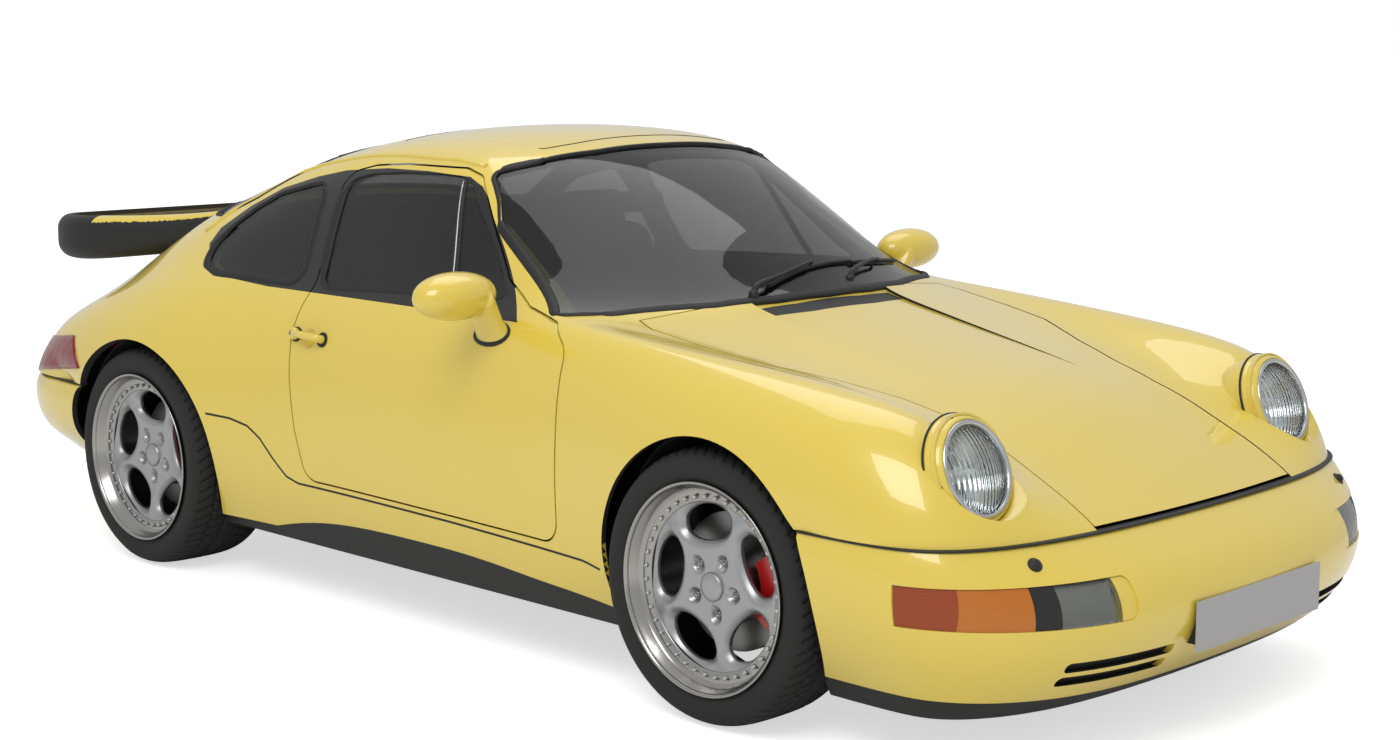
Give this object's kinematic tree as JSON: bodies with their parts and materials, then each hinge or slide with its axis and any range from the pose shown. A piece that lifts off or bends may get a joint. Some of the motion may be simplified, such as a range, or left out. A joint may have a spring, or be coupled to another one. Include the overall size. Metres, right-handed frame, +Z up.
{
  "type": "sports coupe car",
  "caption": "Rear-engined 2+2 coupe with wide rear haunches, tea-tray tail, round headlamps and five-spoke wheels; doors, lids, fuel flap, steering and wheels move.",
  "frame": {"origin": "on the ground, midway between the bumpers, on the middle plane of the car", "axes": "+X forward, +Y to the left side, +Z up; parked on its wheels"},
  "size_m": [4.25, 1.948, 1.2908],
  "materials": {
    "body_paint": "gloss pastel yellow",
    "window_glass": "dark tinted",
    "lamp_glass": "clear",
    "red_lens": "dark red lens",
    "amber_lens": "amber lens",
    "ring_chrome": "body colour rim",
    "bowl_reflector": "bright reflector",
    "black_trim": "satin black",
    "wheel_alloy": "silver with a polished lip",
    "tyre": "black rubber",
    "disc_iron": "machined",
    "caliper_red": "red enamel",
    "inner_paint": "black underseal",
    "cast_alloy": "cast",
    "steel_black": "black enamel",
    "seat_leather": "dark grey",
    "plate_sheet": "blank white",
    "exhaust_steel": "brushed"
  },
  "bodies": {
    "car_body": {"body_shell": "body_paint", "bumper_inserts": "black_trim", "bumper_strips": "black_trim", "dashboard": "black_trim", "engine_block": "cast_alloy", "exhaust": "exhaust_steel", "fixed_windows": "window_glass", "floor_pan": "inner_paint", "front_bumper": "body_paint", "front_fenders": "body_paint", "front_lamps": "amber_lens", "headlamp_bowls": "bowl_reflector", "headlamp_rings": "ring_chrome", "hinge_pins": "steel_black", "inner_panels": "inner_paint", "lamp_glasses": "lamp_glass", "lower_trims": "black_trim", "number_plates": "plate_sheet", "rear_bumper": "body_paint", "rear_calipers": "caliper_red", "rear_knuckles": "cast_alloy", "seats": "seat_leather", "steering_column": "black_trim", "sunroof_panel": "body_paint", "suspension": "steel_black", "tail_lamps": "red_lens"},
    "door_left": {"door_left": "body_paint", "door_glass_left": "window_glass", "door_fittings_left": "body_paint"},
    "door_right": {"door_right": "body_paint", "door_glass_right": "window_glass", "door_fittings_right": "body_paint"},
    "front_lid": {"front_lid": "body_paint", "lid_vent": "black_trim"},
    "engine_lid": {"engine_lid": "body_paint", "spoiler": "body_paint", "spoiler_lip": "black_trim"},
    "fuel_flap": {"fuel_flap": "body_paint"},
    "steering_wheel": {"steering_wheel": "black_trim"},
    "knuckle_left": {"front_knuckle_left": "cast_alloy", "front_caliper_left": "caliper_red"},
    "knuckle_right": {"front_knuckle_right": "cast_alloy", "front_caliper_right": "caliper_red"},
    "wheel_front_left": {"front_rim_left": "wheel_alloy", "front_tyre_left": "tyre", "front_brake_disc_left": "disc_iron"},
    "wheel_front_right": {"front_rim_right": "wheel_alloy", "front_tyre_right": "tyre", "front_brake_disc_right": "disc_iron"},
    "wheel_rear_left": {"rear_rim_left": "wheel_alloy", "rear_tyre_left": "tyre", "rear_brake_disc_left": "disc_iron", "half_shaft_left": "steel_black"},
    "wheel_rear_right": {"rear_rim_right": "wheel_alloy", "rear_tyre_right": "tyre", "rear_brake_disc_right": "disc_iron", "half_shaft_right": "steel_black"}
  },
  "joints": [
    {"name": "steer_right", "type": "hinge", "parent": "car_body", "child": "knuckle_right", "pos_m": [1.203, -0.725, 0.3186], "axis": [0, 0, 1], "range_deg": [-35, 35]},
    {"name": "steer_left", "type": "hinge", "parent": "car_body", "child": "knuckle_left", "pos_m": [1.203, 0.725, 0.3186], "axis": [0, 0, 1], "range_deg": [-35, 35]},
    {"name": "helm", "type": "hinge", "parent": "car_body", "child": "steering_wheel", "pos_m": [0.28475, 0.355, 0.74175], "axis": [-0.9135, 0, 0.4067], "range_deg": [-540, 540]},
    {"name": "roll_front_left", "type": "hinge", "parent": "knuckle_left", "child": "wheel_front_left", "pos_m": [1.203, 0.725, 0.3186], "axis": [0, 1, 0], "continuous": true},
    {"name": "roll_front_right", "type": "hinge", "parent": "knuckle_right", "child": "wheel_front_right", "pos_m": [1.203, -0.725, 0.3186], "axis": [0, 1, 0], "continuous": true},
    {"name": "roll_rear_left", "type": "hinge", "parent": "car_body", "child": "wheel_rear_left", "pos_m": [-1.069, 0.735, 0.3214], "axis": [0, 1, 0], "continuous": true},
    {"name": "roll_rear_right", "type": "hinge", "parent": "car_body", "child": "wheel_rear_right", "pos_m": [-1.069, -0.735, 0.3214], "axis": [0, 1, 0], "continuous": true},
    {"name": "door_right_swing", "type": "hinge", "parent": "car_body", "child": "door_right", "pos_m": [0.692, -0.822, 0.5], "axis": [0, 0, 1], "range_deg": [0, 65]},
    {"name": "door_left_swing", "type": "hinge", "parent": "car_body", "child": "door_left", "pos_m": [0.692, 0.822, 0.5], "axis": [0, 0, -1], "range_deg": [0, 65]},
    {"name": "front_lid_lift", "type": "hinge", "parent": "car_body", "child": "front_lid", "pos_m": [0.74, 0, 0.875], "axis": [0, -1, 0], "range_deg": [0, 50]},
    {"name": "engine_lid_lift", "type": "hinge", "parent": "car_body", "child": "engine_lid", "pos_m": [-1.22322, 0, 1.03877], "axis": [0, 1, 0], "range_deg": [0, 60]},
    {"name": "fuel_flap_swing", "type": "hinge", "parent": "car_body", "child": "fuel_flap", "pos_m": [0.97232, 0.82826, 0.63984], "axis": [0, 0.1383, -0.9904], "range_deg": [0, 80]}
  ],
  "couplings": [
    {"joint": "steer_left", "follows": "steer_right", "ratio": 1},
    {"joint": "helm", "follows": "steer_right", "ratio": 15.4}
  ]
}
